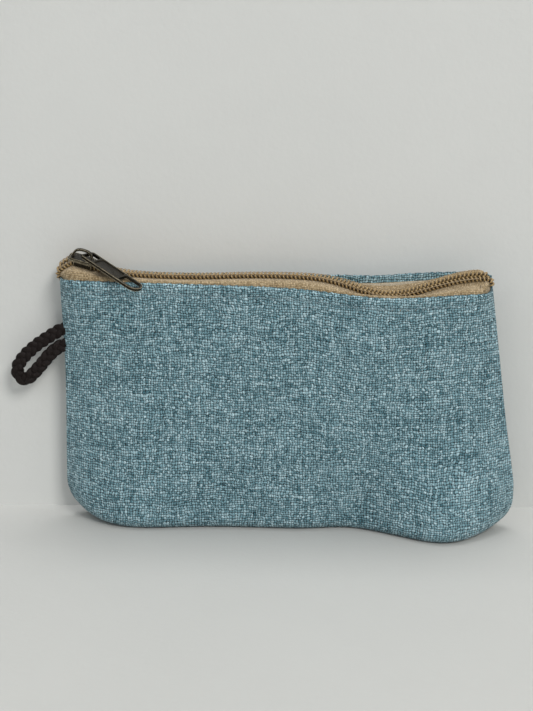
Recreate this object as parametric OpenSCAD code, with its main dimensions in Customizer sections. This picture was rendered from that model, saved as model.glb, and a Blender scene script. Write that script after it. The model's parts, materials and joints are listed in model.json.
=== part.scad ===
// Zippered pouch: a small lined fabric pouch with a boxed base, a coil zip across
// the top and a flat braided hanging loop sewn into its left side seam.
// Millimetres. It stands on its base on z = 0, the front faces -Y, +X runs along
// the zip from the closed end. The two outer panels meet in the seam plane.

/* [Pouch] */
// distance of the left side seam from x = 0
left_w = 95.9; // [70:0.1:115]
// distance of the right side seam from x = 0
right_w = 97; // [70:0.1:115]
// height of the front panel at its left end
front_h = 105.2; // [80:0.1:140]
// height of the back panel
back_h = 106.9; // [80:0.1:140]
// how far the front panel stands from the seam plane at the base
base_depth = 12.6; // [8:0.1:25]
// how far the back panel stands from the seam plane at the base
back_depth = 9.4; // [6:0.1:25]
// how far each panel stands from the seam plane at the mouth
mouth_depth = 8.5; // [6:0.1:15]
// radius of the left bottom corner, seen from the front
corner_r_left = 17; // [5:0.5:30]
// radius of the right bottom corner, seen from the front
corner_r_right = 14; // [5:0.5:30]
// how much the right side leans inwards per millimetre of height
side_lean = 0.137; // [0:0.001:0.3]
// how far the left side is drawn in beside the loop
side_draw = 1.35; // [0:0.05:5]
// how far the right side steps in above its bottom corner
side_step = 0.8; // [0:0.1:3]
// thickness of the outer fabric with its fused backing
fabric_t = 0.9; // [0.5:0.1:2]
// thickness of the lining
lining_t = 0.6; // [0.3:0.1:1.5]

/* [Shape of the soft panels] */
// how far the front panel's right bottom corner swells forwards
swell = 11.5; // [0:0.1:15]
// how far its left bottom corner swells forwards
swell_left = 5; // [0:0.1:10]
// how far the front panel is dented beside that swelling
dent = 3.6; // [0:0.1:8]
// how far the front top edge sinks where the zip dips
edge_dip = 3.3; // [0:0.1:6]
// how far the back top edge rises towards its right end
back_rise = 2.9; // [0:0.1:6]

/* [Zip] */
// distance between neighbouring coils of one row
coil_pitch = 1.65; // [1:0.05:3]
// half the width of the closed chain
chain_half_w = 3.0; // [2:0.1:4]
// thickness of the coil
coil_t = 2.0; // [1:0.1:3]
// height of the chain's middle above the base
chain_z = 107; // [90:0.1:130]
// how far the chain rises towards its closed end
chain_rise = 9.2; // [0:0.1:12]
// how far the chain sinks in its dip
chain_dip = 7.3; // [0:0.1:9]
// forward roll of the chain along most of its length
chain_roll = -2; // [-10:1:30]
// thickness of the woven tape
tape_t = 0.55; // [0.3:0.05:1]

/* [Slider and pull] */
// length of the slider's wings
slider_len = 11.4; // [8:0.1:16]
// width of the slider's wings
slider_w = 8.5; // [7:0.1:12]
// middle of the slider along the chain, zip closed
slider_x = -86; // [-90:0.5:80]
// outside length of the bridge
bridge_len = 8.8; // [6:0.1:11]
// height of the bridge above the wing
bridge_h = 3.9; // [3:0.1:6]
// length of the pull from its crossbar to its tip
pull_len = 31; // [20:0.5:45]
// width of the pull
pull_w = 7.4; // [5:0.1:12]
// thickness of the pull
pull_t = 1.3; // [1:0.1:2]
// angle that the pull is swung towards the front
pull_swing = 30; // [0:1:45]
// angle that the pull drops below the slider's top
pull_drop = 3; // [0:1:12]

/* [Hanging loop] */
// width of the flat braid
braid_w = 5.4; // [3:0.1:8]
// thickness of the flat braid
braid_t = 2.4; // [1:0.1:4]

/* [Parts] */

/* [Hidden] */
seam_y = 6.8;             // the seam plane, set so that the depth is centred on y = 0
seam_gap = 0.15;          // half the gap between the two panels along the seams
lean_from = 20;           // height where the right side starts to lean in
base_round = 5;           // radius between the base and the faces
base_end = 6;             // how much shorter the bottom seam is at each end
side_rows = 14;
base_rows = 4;
rows = base_rows + side_rows;
cols = 28;
lining_in = 2.05;         // the lining's outer face, inside the panel's outer face
lining_low = 3.2;         // the lining's edge lies this far below the panel's edge
tape_in = 1.12;           // the sewn-in part of the tape lies between panel and lining
tape_reach = 0.985;       // the tapes end just short of the side seams
thread_r = 0.2;
stitch_len = 2.6;
stitch_gap = 0.5;
top_stitch_drop = 4.6;    // topstitching below the panel's edge
back_fold = 3.8;          // the back tape comes out this far below the panel's edge
coil_from = -92.4;
coil_to = 80.4;
teeth_from = -88.2;       // left of this the coils are parted by the slider's post
coil_root = 0.75;
coil_tip = 0.55;
tape_edge = 1.6;          // the tapes' inner edges, from the chain's middle
wing_n = [1.25, 1.75, 2.25];   // top wing: underside, step, top
foot_n = [-2.9, -1.9];         // bottom wing: underside, top
pivot_x = 1.5;            // the pull's crossbar, from the slider's middle
pivot_n = 4.15;
tape_n = -coil_t / 2 - 0.08;   // the tape's upper face, under the coil
slider_z = chain_mid(slider_x);
slider_pitch = atan((chain_mid(slider_x - 5) - chain_mid(slider_x + 5)) / 10);

leather_brown = [0.21, 0.15, 0.14];
cloth = [0.42, 0.56, 0.60];
sand = [0.75, 0.66, 0.50];
coil_tan = [0.62, 0.50, 0.34];
brass = [0.30, 0.27, 0.20];

// middle of the braid: x and z of hand-chosen points, in the seam plane
loop_route = [[-92.6, 84.2], [-96.5, 82.8], [-100.7, 80.3], [-106.8, 76.1], [-112.2, 71.2],
              [-115.3, 66.4], [-115.1, 62.6], [-112.4, 60.9], [-109.2, 63],
              [-105, 67.6], [-101.2, 72.1], [-97, 75.6], [-92.6, 77.2]];
route_steps = 3;

// ---- shape functions -------------------------------------------------------
// side is 1 for the front panel and -1 for the back panel

function mix(a, b, k) = a + (b - a) * k;
function clamp(a) = max(0, min(1, a));
function bump(d, w) = exp(-d * d / (w * w));
function rise(d, w) = 1 / (1 + exp(-d / w));
function corner(z, r) = z >= r ? 0 : r - sqrt(max(0, r * r - (r - z) * (r - z)));
function x_left(z) = -left_w + corner(z, corner_r_left) + side_draw * bump(z - 66, 36);
function x_right(z) = right_w - corner(z, corner_r_right) - side_lean * max(0, z - lean_from)
    - side_step * rise(z - 36, 6);
function panel_h(side, x) =
    side > 0 ? front_h - 0.0135 * (x + 20) - edge_dip * bump(x - 42, 28)
             : back_h + back_rise * rise(x - 50, 14) - 0.5 * bump(x - 37, 12);
// how quickly a panel leaves the side seam: quickly at the mouth, slowly half way up
function fullness(z) = mix(6, 2.2, z / front_h) + 12 * sin(180 * clamp(z / front_h));
function depth(side, x, z) =
    mix(side > 0 ? base_depth : back_depth, mouth_depth, z / front_h) - corner(z, base_round)
    + (side > 0 ? swell * bump(x - 68, 21) * bump(z, 34) + swell_left * bump(x + 66, 26) * bump(z, 30)
                  - dent * bump(x - 27, 14) * bump(z, 34)
                : 0);

// a point of a panel's surface: u runs -1..1 across, row j runs from the bottom seam
// over the base and up the face, inset moves the surface inwards
function panel_point(side, u, j, inset, low = 0) =
    let (w = min(1, j / base_rows),
         h = j <= base_rows ? 0 : pow((j - base_rows) / side_rows, 1.3),
         z0 = h * front_h,
         xl = x_left(z0) + (1 - w) * base_end + 1.2 * inset,
         xr = x_right(z0) - (1 - w) * base_end - 1.2 * inset,
         x = mix(xl, xr, (u + 1) / 2),
         f = 1 - exp(-min(x - xl, xr - x) / fullness(z0)),
         d = depth(side, x, z0) - inset)
    [x, seam_y - side * (seam_gap + 0.06 * w + w * d * f),
     inset * (1 - h) + z0 * (panel_h(side, x) - low) / front_h];

function across(i, n) = sin(90 * (2 * i / n - 1));
function panel_grid(side, inset, low = 0) =
    [for (i = [0:cols]) [for (j = [0:rows]) panel_point(side, across(i, cols), j, inset, low)]];

// a point on the face at a chosen distance below the panel's edge
function face_point(side, u, drop, inset) =
    let (a = panel_point(side, u, rows, inset), b = panel_point(side, u, rows - 1, inset),
         k = drop / (a[2] - b[2]))
    a + (b - a) * k;

// ---- the chain -------------------------------------------------------------
function chain_mid(x) = chain_z + chain_rise * rise(-x - 84, 8) + 1.1 * rise(x + 25, 6)
    - chain_dip * bump(x - 42.5, 19.5) + 1.6 * rise(x - 70, 4);
function chain_tilt(x) = chain_roll + 13 * rise(-x - 72, 5) + 14 * bump(x - 42, 24) + 21 * rise(x - 64, 6);
// t runs across the chain towards the back, n stands on it
function chain_point(x, t, n) =
    let (a = chain_tilt(x))
    [x, seam_y + t * cos(a) - n * sin(a), chain_mid(x) + t * sin(a) + n * cos(a)];

// ---- solids from grids -----------------------------------------------------
// a closed shell between two equal grids of points
module shell(outer, inner) {
    m = len(outer);
    n = len(outer[0]);
    k = m * n;
    function at(i, j) = i * n + j;
    polyhedron(
        points = [for (g = [outer, inner]) for (line = g) for (p = line) p],
        faces = concat(
            [for (i = [0:m - 2]) for (j = [0:n - 2]) each
                [[at(i, j), at(i + 1, j), at(i + 1, j + 1)], [at(i, j), at(i + 1, j + 1), at(i, j + 1)]]],
            [for (i = [0:m - 2]) for (j = [0:n - 2]) each
                [[k + at(i, j), k + at(i + 1, j + 1), k + at(i + 1, j)],
                 [k + at(i, j), k + at(i, j + 1), k + at(i + 1, j + 1)]]],
            [for (i = [0:m - 2]) each
                [[at(i, 0), k + at(i, 0), k + at(i + 1, 0)], [at(i, 0), k + at(i + 1, 0), at(i + 1, 0)],
                 [at(i, n - 1), k + at(i + 1, n - 1), k + at(i, n - 1)],
                 [at(i, n - 1), at(i + 1, n - 1), k + at(i + 1, n - 1)]]],
            [for (j = [0:n - 2]) each
                [[at(0, j), k + at(0, j + 1), k + at(0, j)], [at(0, j), at(0, j + 1), k + at(0, j + 1)],
                 [at(m - 1, j), k + at(m - 1, j), k + at(m - 1, j + 1)],
                 [at(m - 1, j), k + at(m - 1, j + 1), at(m - 1, j + 1)]]]));
}

// a tube through equal rings of points
module tube(rings) {
    m = len(rings);
    n = len(rings[0]);
    polyhedron(
        points = [for (r = rings) each r],
        faces = concat(
            [[for (j = [n - 1:-1:0]) j]],
            [for (i = [0:m - 2]) for (j = [0:n - 1]) each
                [[i * n + j, i * n + (j + 1) % n, (i + 1) * n + j],
                 [i * n + (j + 1) % n, (i + 1) * n + (j + 1) % n, (i + 1) * n + j]]],
            [[for (j = [0:n - 1]) (m - 1) * n + j]]));
}

// a short length of thread between two points
module thread(a, b) {
    d = b - a;
    l = norm(d);
    translate(a) rotate([0, acos(d[2] / l), atan2(d[1], d[0])])
        cylinder(h = l, r = thread_r, $fn = 13);
}

// ---- the cloth -------------------------------------------------------------
module outer(side) color(cloth)
    if (side > 0) shell(panel_grid(side, 0), panel_grid(side, fabric_t));
    else shell(panel_grid(side, fabric_t), panel_grid(side, 0));

module lining(side) color(sand)
    if (side > 0) shell(panel_grid(side, lining_in, lining_low),
                        panel_grid(side, lining_in + lining_t, lining_low));
    else shell(panel_grid(side, lining_in + lining_t, lining_low),
               panel_grid(side, lining_in, lining_low));

module outer_front() outer(1);
module outer_back() outer(-1);
module lining_front() lining(1);
module lining_back() lining(-1);

// ---- the zip ---------------------------------------------------------------
// one line across a tape, from its inner edge down to its sewn-in edge
function tape_line(side, u, n, inset) =
    let (edge = panel_point(side, u, rows, inset),
         top = side > 0 ? edge : face_point(side, u, back_fold, inset),
         wide = side > 0 ? 5.0 : 5.6,
         narrow = min(1, (abs(top[1] - seam_y) - 0.3) / wide))
    concat([for (t = [tape_edge, 3.3, wide]) chain_point(top[0], -side * t * narrow, n)],
           [top, panel_point(side, u, rows - 1, inset)]);
function tape_grid(side, n, inset) =
    [for (i = [0:cols]) tape_line(side, tape_reach * across(i, cols), n, inset)];

module zip_tape(side) color(sand)
    if (side > 0) shell(tape_grid(side, tape_n - tape_t, tape_in + tape_t), tape_grid(side, tape_n, tape_in));
    else shell(tape_grid(side, tape_n, tape_in), tape_grid(side, tape_n - tape_t, tape_in + tape_t));

module zip_tape_front() zip_tape(1);
module zip_tape_back() zip_tape(-1);

// a coil row: a bar with a toothed inner edge that meshes with the other row's
module zip_coil(side) color(coil_tan) {
    count = floor((coil_to - coil_from) / (coil_pitch / 2));
    stations = [for (i = [0:count]) let (x = coil_from + i * coil_pitch / 2)
        [x, x < teeth_from ? -tape_edge + 0.1
            : (i + (side > 0 ? 0 : 1)) % 2 == 0 ? coil_tip : -coil_root]];
    tube([for (s = stations)
        [for (c = side > 0 ? [[-chain_half_w, -1], [s[1], -1], [s[1], 1], [-chain_half_w, 1]]
                           : [[-s[1], -1], [chain_half_w, -1], [chain_half_w, 1], [-s[1], 1]])
            chain_point(s[0], c[0], c[1] * coil_t / 2)]]);
}
module zip_coil_front() zip_coil(1);
module zip_coil_back() zip_coil(-1);

// the sewing that holds a coil row to its tape: one stitch across each coil
module coil_thread(side) color(sand)
    for (x = [coil_from + 0.4:coil_pitch:coil_to - 0.4])
        thread(chain_point(x, -side * 2.0, coil_t / 2), chain_point(x + 0.5, -side * 2.8, coil_t / 2));
module coil_thread_front() coil_thread(1);
module coil_thread_back() coil_thread(-1);

// ---- sewing ----------------------------------------------------------------
function u_at(side, x) =
    let (xl = x_left(front_h), xr = x_right(front_h)) 2 * (x - xl) / (xr - xl) - 1;

module topstitch(side) color(cloth)
    for (x = [x_left(front_h) + 2:stitch_len + stitch_gap:x_right(front_h) - 2 - stitch_len])
        thread(face_point(side, u_at(side, x), top_stitch_drop, 0),
               face_point(side, u_at(side, x + stitch_len), top_stitch_drop, 0));
module topstitch_front() topstitch(1);
module topstitch_back() topstitch(-1);

// the hidden seam along the mouth, through panel, tape and lining
module zip_seam_thread(side) color(sand)
    for (x = [x_left(front_h) + 6:stitch_len + stitch_gap:x_right(front_h) - 6])
        thread(face_point(side, u_at(side, x), 5.0, 0.5), face_point(side, u_at(side, x), 5.0, 2.5));
module zip_seam_thread_front() zip_seam_thread(1);
module zip_seam_thread_back() zip_seam_thread(-1);

// a side seam, from the mouth round the bottom corner
module side_seam(u, inset, reach)
    for (j = [base_rows:0.34:rows - 0.4]) {
        p = panel_point(1, u, j, inset);
        thread([p[0], seam_y - reach, p[2]], [p[0], seam_y + reach, p[2]]);
    }
module side_seam_thread_left() color(cloth) side_seam(-1, 0.5, 0.5);
module side_seam_thread_right() color(cloth) side_seam(1, 0.5, 0.5);

module bottom_seam_thread() color(cloth) {
    a = panel_point(1, -1, 0, 0);
    b = panel_point(1, 1, 0, 0);
    for (x = [a[0] + 2:stitch_len + stitch_gap:b[0] - 2])
        thread([x, seam_y - 1, 0.45], [x, seam_y + 1, 0.45]);
}

module lining_seam_thread() color(sand) {
    mid = lining_in + lining_t / 2;
    for (u = [-1, 1]) side_seam(u, mid, 0.4);
    a = panel_point(1, -1, 0, mid);
    b = panel_point(1, 1, 0, mid);
    for (x = [a[0] + 2:stitch_len + stitch_gap:b[0] - 2])
        thread([x, seam_y - 1, mid], [x, seam_y + 1, mid]);
}

// ---- hanging loop ----------------------------------------------------------
function spline(p, i, k) =
    let (n = len(p) - 1, a = p[max(0, i - 1)], b = p[i], c = p[min(n, i + 1)], d = p[min(n, i + 2)])
    0.5 * (2 * b + (c - a) * k + (2 * a - 5 * b + 4 * c - d) * k * k
           + (3 * b - a - 3 * c + d) * k * k * k);

module hanging_loop() color(leather_brown) {
    path = [for (i = [0:len(loop_route) - 2]) for (s = [0:route_steps - 1])
                spline(loop_route, i, s / route_steps), loop_route[len(loop_route) - 1]];
    last = len(path) - 1;
    tube([for (i = [0:last])
        let (d = path[min(last, i + 1)] - path[max(0, i - 1)],
             side = [-d[1], d[0]] / norm(d))
        [for (a = [0:45:315])
            [path[i][0] + side[0] * braid_w / 2 * cos(a),
             seam_y + braid_t / 2 * sin(a),
             path[i][1] + side[1] * braid_w / 2 * cos(a)]]]);
}

// ---- slider and pull -------------------------------------------------------
// the slider's frame: x along the chain, y across it, z standing on it
module on_slider()
    translate([slider_x, seam_y, slider_z]) rotate([chain_tilt(slider_x), slider_pitch, 0]) children();

module wing(inset) {
    l = slider_len / 2 - inset;
    w = slider_w / 2 - inset;
    polygon([[-l, -w + 1.6], [-l + 0.5, -w + 0.6], [-l + 1.5, -w], [1.4, -w], [l - 1, -w + 0.35],
             [l, -w + 1.1], [l, w - 1.1], [l - 1, w - 0.35], [1.4, w], [-l + 1.5, w],
             [-l + 0.5, w - 0.6], [-l, w - 1.6]]);
}

module slider_body() color(brass) on_slider() {
    translate([0, 0, wing_n[0]]) linear_extrude(wing_n[1] - wing_n[0]) wing(0);
    translate([0, 0, wing_n[1]]) linear_extrude(wing_n[2] - wing_n[1]) wing(0.7);
    translate([0, 0, foot_n[0]]) linear_extrude(foot_n[1] - foot_n[0]) difference() {
        wing(0.2);
        // the nose is narrower, clear of the tapes
        for (y = [-6, 2.3]) translate([-6.5, y]) square([3.5, 3.7]);
    }
    for (s = [-1, 1]) translate([-2.6, s > 0 ? 3.4 : -3.85, -0.7])
        cube([7.6, 0.45, wing_n[0] + 0.8]);
    translate([-4.1, 0, foot_n[0] + 0.2]) cylinder(h = wing_n[1] - foot_n[0] - 0.2, r = 1.05, $fn = 32);
}

// a strap bent over the top wing; the pull's crossbar is caught under it
function strap(a, half, high) =
    [half * sign(cos(a)) * pow(abs(cos(a)), 0.77), high * pow(abs(sin(a)), 0.77)];
module slider_bridge() color(brass) on_slider()
    translate([0, 0.75, wing_n[2]]) rotate([90, 0, 0]) linear_extrude(1.5)
        polygon(concat([for (a = [0:7.5:180]) strap(a, bridge_len / 2, bridge_h)],
                       [for (a = [180:-7.5:0]) strap(a, bridge_len / 2 - 0.9, bridge_h - 0.9)]));

module rounded(x0, x1, w, r) {
    translate([x0, -w + r]) square([x1 - x0, 2 * (w - r)]);
    translate([x0 + r, -w]) square([x1 - x0 - 2 * r, 2 * w]);
    for (x = [x0 + r, x1 - r], y = [-w + r, w - r]) translate([x, y]) circle(r, $fn = 32);
}

module pull_tab() color(brass) on_slider()
    translate([pivot_x, 0, pivot_n]) rotate([0, 0, -pull_swing]) rotate([0, pull_drop, 0]) {
        half = pull_w / 2;
        rim = 0.9;
        difference() {
            translate([0, 0, -pull_t / 2]) linear_extrude(pull_t) difference() {
                union() {
                    rounded(0, pull_len - half, half, 1.2);
                    translate([pull_len - half, 0]) circle(half, $fn = 64);
                }
                rounded(0.45, 5.8, half - rim, 1.2);
                rounded(20.8, pull_len - half, half - rim, 0.8);
                translate([pull_len - half, 0]) circle(half - rim, $fn = 48);
            }
            for (z = [pull_t / 2 - 0.3, -pull_t / 2 - 1]) translate([0, 0, z])
                linear_extrude(1.3) rounded(6.8, 19.8, half - rim, 0.8);
        }
        rotate([90, 0, 0]) translate([0, 0, -half + 1]) cylinder(h = pull_w - 2, r = pull_t / 2, $fn = 32);
    }

// ---- parts -----------------------------------------------------------------
outer_front();
outer_back();
lining_front();
lining_back();
zip_tape_front();
zip_tape_back();
zip_coil_front();
zip_coil_back();
coil_thread_front();
coil_thread_back();
topstitch_front();
topstitch_back();
zip_seam_thread_front();
zip_seam_thread_back();
side_seam_thread_left();
side_seam_thread_right();
bottom_seam_thread();
lining_seam_thread();
hanging_loop();
slider_body();
slider_bridge();
pull_tab();
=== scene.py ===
"""Zippered pouch: the looks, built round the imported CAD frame, on the CAD's own axes. +X runs along the zip
from its closed end, the front faces -Y, and +Z is up. Blender's objects are in metres. Shapes are worked out
in millimetres, as in the CAD source, and multiplied by MM."""
import json
import math

import bpy
import numpy as np
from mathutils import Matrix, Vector


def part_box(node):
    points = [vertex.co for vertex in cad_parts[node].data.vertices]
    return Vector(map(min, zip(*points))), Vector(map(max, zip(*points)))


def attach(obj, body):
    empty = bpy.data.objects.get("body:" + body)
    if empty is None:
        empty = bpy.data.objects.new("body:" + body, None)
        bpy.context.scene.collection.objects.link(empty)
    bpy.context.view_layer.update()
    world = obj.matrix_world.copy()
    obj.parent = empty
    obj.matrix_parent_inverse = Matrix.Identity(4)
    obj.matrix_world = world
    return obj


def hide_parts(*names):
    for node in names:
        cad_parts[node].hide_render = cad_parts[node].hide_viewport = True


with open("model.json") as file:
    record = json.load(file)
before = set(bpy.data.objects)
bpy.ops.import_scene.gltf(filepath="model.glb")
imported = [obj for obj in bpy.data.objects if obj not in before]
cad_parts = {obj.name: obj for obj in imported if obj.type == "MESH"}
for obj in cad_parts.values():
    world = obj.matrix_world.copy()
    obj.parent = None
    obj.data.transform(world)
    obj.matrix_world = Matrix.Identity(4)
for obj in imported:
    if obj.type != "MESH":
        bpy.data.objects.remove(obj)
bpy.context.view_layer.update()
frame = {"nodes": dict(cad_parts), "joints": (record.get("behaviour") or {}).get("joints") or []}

nodes = frame["nodes"]
scene = bpy.context.scene
rng = np.random.default_rng(7)
MM = 0.001

# ---------------------------------------------------------------- camera
CAMERA_LENS, CAMERA_SENSOR = 67.5, 36.0
CAMERA_PLACE = (0.0374, -0.5334, 0.2177)
CAMERA_AZIMUTH, CAMERA_ELEVATION = 4.84, 14.87


def aim(obj, azimuth, elevation):
    """Turn a camera or a light to look at the object from an azimuth and elevation, in degrees. Returns the
    direction back towards it."""
    a, e = math.radians(azimuth), math.radians(elevation)
    back = Vector((math.sin(a) * math.cos(e), -math.cos(a) * math.cos(e), math.sin(e)))
    obj.rotation_mode = "QUATERNION"
    obj.rotation_quaternion = back.to_track_quat("Z", "Y")
    return back


cam_data = bpy.data.cameras.new("camera")
cam = bpy.data.objects.new("camera", cam_data)
scene.collection.objects.link(cam)
cam_data.lens = CAMERA_LENS
cam_data.sensor_width = CAMERA_SENSOR
cam.location = CAMERA_PLACE
aim(cam, CAMERA_AZIMUTH, CAMERA_ELEVATION)
scene.camera = cam

# ---------------------------------------------------------------- the pouch's shape, in mm
SIDES = ((1, "front"), (-1, "back"))    # a panel stands out from the seams towards -Y times its side
SEAM_Y = 6.8                            # the plane of the side seams and of the zip
LEFT_W, RIGHT_W = 95.9, 97.0            # from the origin to each side seam
LEFT_CORNER, RIGHT_CORNER = 17, 14      # radii of the bottom corners, seen from the front
FRONT_H, BACK_H = 105.2, 106.9          # heights of the mouth's two edges
FRONT_BASE, BACK_BASE, MOUTH_D = 12.6, 9.4, 8.5     # how far the panels stand out from the seams
BASE_CORNER = 5                         # radius where a panel turns under
BASE_ROWS, SIDE_ROWS = 4, 14            # a panel's grid rows: bottom seam to lower edge, and from there up
ROWS = BASE_ROWS + SIDE_ROWS
ROW_POWER = 1.3                         # crowds the side rows towards the base
MOUTH_FULLNESS = 1.7                    # how far in from a side seam the mouth takes to open
BASE_END = 6                            # by how much the bottom seam is shorter at each end
SIDE_INSET = 1.2                        # an inner layer's step in from the side seams, for each mm of inset
CREASE_FROM_SEAM, CREASE_FROM_BASE = 12, 14     # distances over which the creases fade in

# Soft unevenness of stiffened cloth. A crease is (height, x, lean, width, z, length): it stands out by its
# height, leans in x by so much for each mm of z, and fades over its width and length.
FRONT_CREASES = [
    (0.55, -10, 0.00, 9, 74, 26),
    (-0.50, -24, 0.12, 6, 78, 20),
    (-0.45, 2, 0.05, 7, 66, 30),
    (0.50, 42, -0.15, 8, 84, 18),
    (-0.55, 60, -0.10, 6, 82, 20),
    (0.40, -62, 0.00, 14, 40, 22),
    (-0.45, -82, 0.00, 5, 30, 26),
    (-0.40, 84, 0.00, 5, 50, 24),
    (-0.90, 30, 0.25, 5, 12, 16),
]
BACK_CREASES = [
    (0.5, 20, 0.0, 14, 60, 30),
    (-0.6, -34, 0.1, 7, 70, 24),
    (-0.5, 58, -0.1, 8, 40, 26),
]
# A slow wave across each panel: (height, x for one radian, phase, z, length)
FRONT_WAVE = (0.35, 11.0, 0.6, 55, 40)
BACK_WAVE = (0.3, 13.0, 2.0, 50, 40)


def mix(a, b, k):
    return a + (b - a) * k


def bump(d, w):
    """A hump, 1 at d = 0, that fades over w."""
    return np.exp(-((d / w) ** 2))


def rise(d, w):
    """A soft step from 0 to 1 at d = 0, about 4 w wide."""
    return 1 / (1 + np.exp(-d / w))


def smooth(k):
    """An eased step from 0 at k = 0 to 1 at k = 1."""
    k = np.clip(k, 0, 1)
    return k * k * (3 - 2 * k)


def corner(z, r):
    """How far a rounded bottom corner of radius r stands in at height z."""
    return np.where(z >= r, 0, r - np.sqrt(np.maximum(0, r * r - (r - z) ** 2)))


def x_left(z):
    """The left side, pulled in a little half way up."""
    return -LEFT_W + corner(z, LEFT_CORNER) + 1.35 * bump(z - 66, 36)


def x_right(z):
    """The right side, leaning in towards the mouth."""
    return RIGHT_W - corner(z, RIGHT_CORNER) - 0.137 * np.maximum(0, z - 20) - 0.8 * rise(z - 36, 6)


def panel_h(side, x):
    """Height of the mouth's edge: the front one sags at the right, and the back one stands up there."""
    if side > 0:
        return FRONT_H - 0.0135 * (x + 20) - 3.3 * bump(x - 42, 28)
    return BACK_H + 2.9 * rise(x - 50, 14) - 0.5 * bump(x - 37, 12)


def fullness(z, mouth):
    """How far in from a side seam a panel takes to fill out. mouth is its value at the mouth."""
    return mix(6, mouth, z / FRONT_H) + 12 * np.sin(np.pi * np.clip(z / FRONT_H, 0, 1))


def depth(side, x, z):
    """How far a panel stands out from the seams. The front bulges at both ends of its base."""
    d = mix(FRONT_BASE if side > 0 else BACK_BASE, MOUTH_D, z / FRONT_H) - corner(z, BASE_CORNER)
    if side > 0:
        d = d + 11.5 * bump(x - 68, 21) * bump(z, 34) + 5 * bump(x + 66, 26) * bump(z, 30)
        d = d - 3.6 * bump(x - 27, 14) * bump(z, 34)
    return d


def creases(side, x, z):
    """A panel's unevenness, outwards."""
    table, wave = (FRONT_CREASES, FRONT_WAVE) if side > 0 else (BACK_CREASES, BACK_WAVE)
    total = 0.0
    for height, x0, lean, width, z0, length in table:
        total = total + height * bump(x - x0 - lean * z, width) * bump(z - z0, length)
    height, radian, phase, z0, length = wave
    return total + height * np.sin(x / radian + phase) * bump(z - z0, length)


def panel_points(side, u, r, inset=0.0, low=0.0, mouth=MOUTH_FULLNESS):
    """Points of a panel's surface: u is -1..1 across, and r is 0 at the bottom seam and ROWS at the mouth.
    inset moves them into the cloth, and low ends them below the mouth's edge."""
    # w is how far out the point is from the bottom seam, and h how far up it is to the mouth, both 0 to 1
    w = np.minimum(1, r / BASE_ROWS)
    h = np.maximum(0, (r - BASE_ROWS) / SIDE_ROWS) ** ROW_POWER
    z0 = h * FRONT_H
    end_in = (1 - w) * BASE_END
    # both panels reach the same side edge at the same real height, because they are sewn together there
    xl = x_left(z0 * panel_h(side, -LEFT_W) / FRONT_H) + end_in + SIDE_INSET * inset
    xr = x_right(z0 * panel_h(side, RIGHT_W) / FRONT_H) - end_in - SIDE_INSET * inset
    x = mix(xl, xr, (u + 1) / 2)
    s = np.minimum(x - xl, xr - x)
    f = 1 - np.exp(-s / fullness(z0, mouth))
    d = depth(side, x, z0) - inset
    d = d + creases(side, x, z0) * smooth(s / CREASE_FROM_SEAM) * smooth(z0 / CREASE_FROM_BASE)
    top = panel_h(side, x) - low
    z = inset * (1 - h) + z0 * top / FRONT_H
    y = SEAM_Y - side * (0.15 + 0.06 * w + w * d * f)
    return np.stack(np.broadcast_arrays(x, y, z), -1)


# ---------------------------------------------------------------- meshes and cloth coordinates
def link(name, verts, faces, smooth_shade=True):
    """A new object from vertices in metres."""
    me = bpy.data.meshes.new(name)
    me.from_pydata(verts.reshape(-1, 3).tolist(), [], faces)
    me.validate()
    if smooth_shade:
        me.polygons.foreach_set("use_smooth", [True] * len(me.polygons))
    ob = bpy.data.objects.new(name, me)
    scene.collection.objects.link(ob)
    return ob


def grid_faces(m, n, off=0, flip=False):
    i, j = np.meshgrid(np.arange(m - 1), np.arange(n - 1), indexing="ij")
    a = (i * n + j).ravel() + off
    q = np.stack([a, a + n, a + n + 1, a + 1], -1)
    return (q[:, ::-1] if flip else q).tolist()


def set_uv(ob, uv):
    """uv is one pair per vertex, in metres."""
    layer = ob.data.uv_layers.new(name="cloth")
    loop_v = np.zeros(len(ob.data.loops), np.int32)
    ob.data.loops.foreach_get("vertex_index", loop_v)
    layer.data.foreach_set("uv", uv[loop_v].astype(np.float32).ravel())


def arc_length(p):
    """Distance along a line of points, from 0."""
    return np.concatenate([[0], np.cumsum(np.linalg.norm(np.diff(p, axis=0), axis=1))])


def centred(step, half):
    """Running sum of a grid's steps along its rows, counted from the column half."""
    total = np.concatenate([np.zeros((1, step.shape[1])), np.cumsum(step, 0)], 0)
    return total - total[half]


def tape_uv(p):
    """Cloth coordinates of a grid of points, in metres: along each row, and up the middle column."""
    half = p.shape[0] // 2
    u = centred(np.linalg.norm(np.diff(p, axis=0), axis=-1), half)
    return np.stack(np.broadcast_arrays(u, arc_length(p[half])[None]), -1) * MM


TURN_IN = 12    # width of the strip beside a side seam where the cloth turns in, in mm


def panel_uv(p):
    """Cloth coordinates of a panel, in metres. The yarns stay upright, and the cloth is only longer where it
    turns in towards the side seams."""
    half = p.shape[0] // 2
    x = p[..., 0]
    step = np.linalg.norm(np.diff(p, axis=0), axis=-1) - np.abs(np.diff(x, axis=0))
    near = np.minimum(x - x[:1], x[-1:] - x)
    step = step * (1 - smooth((near[1:] + near[:-1]) / 2 / TURN_IN - 0.3))
    return np.stack(np.broadcast_arrays(x + centred(step, half), arc_length(p[half])[None]), -1) * MM


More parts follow.
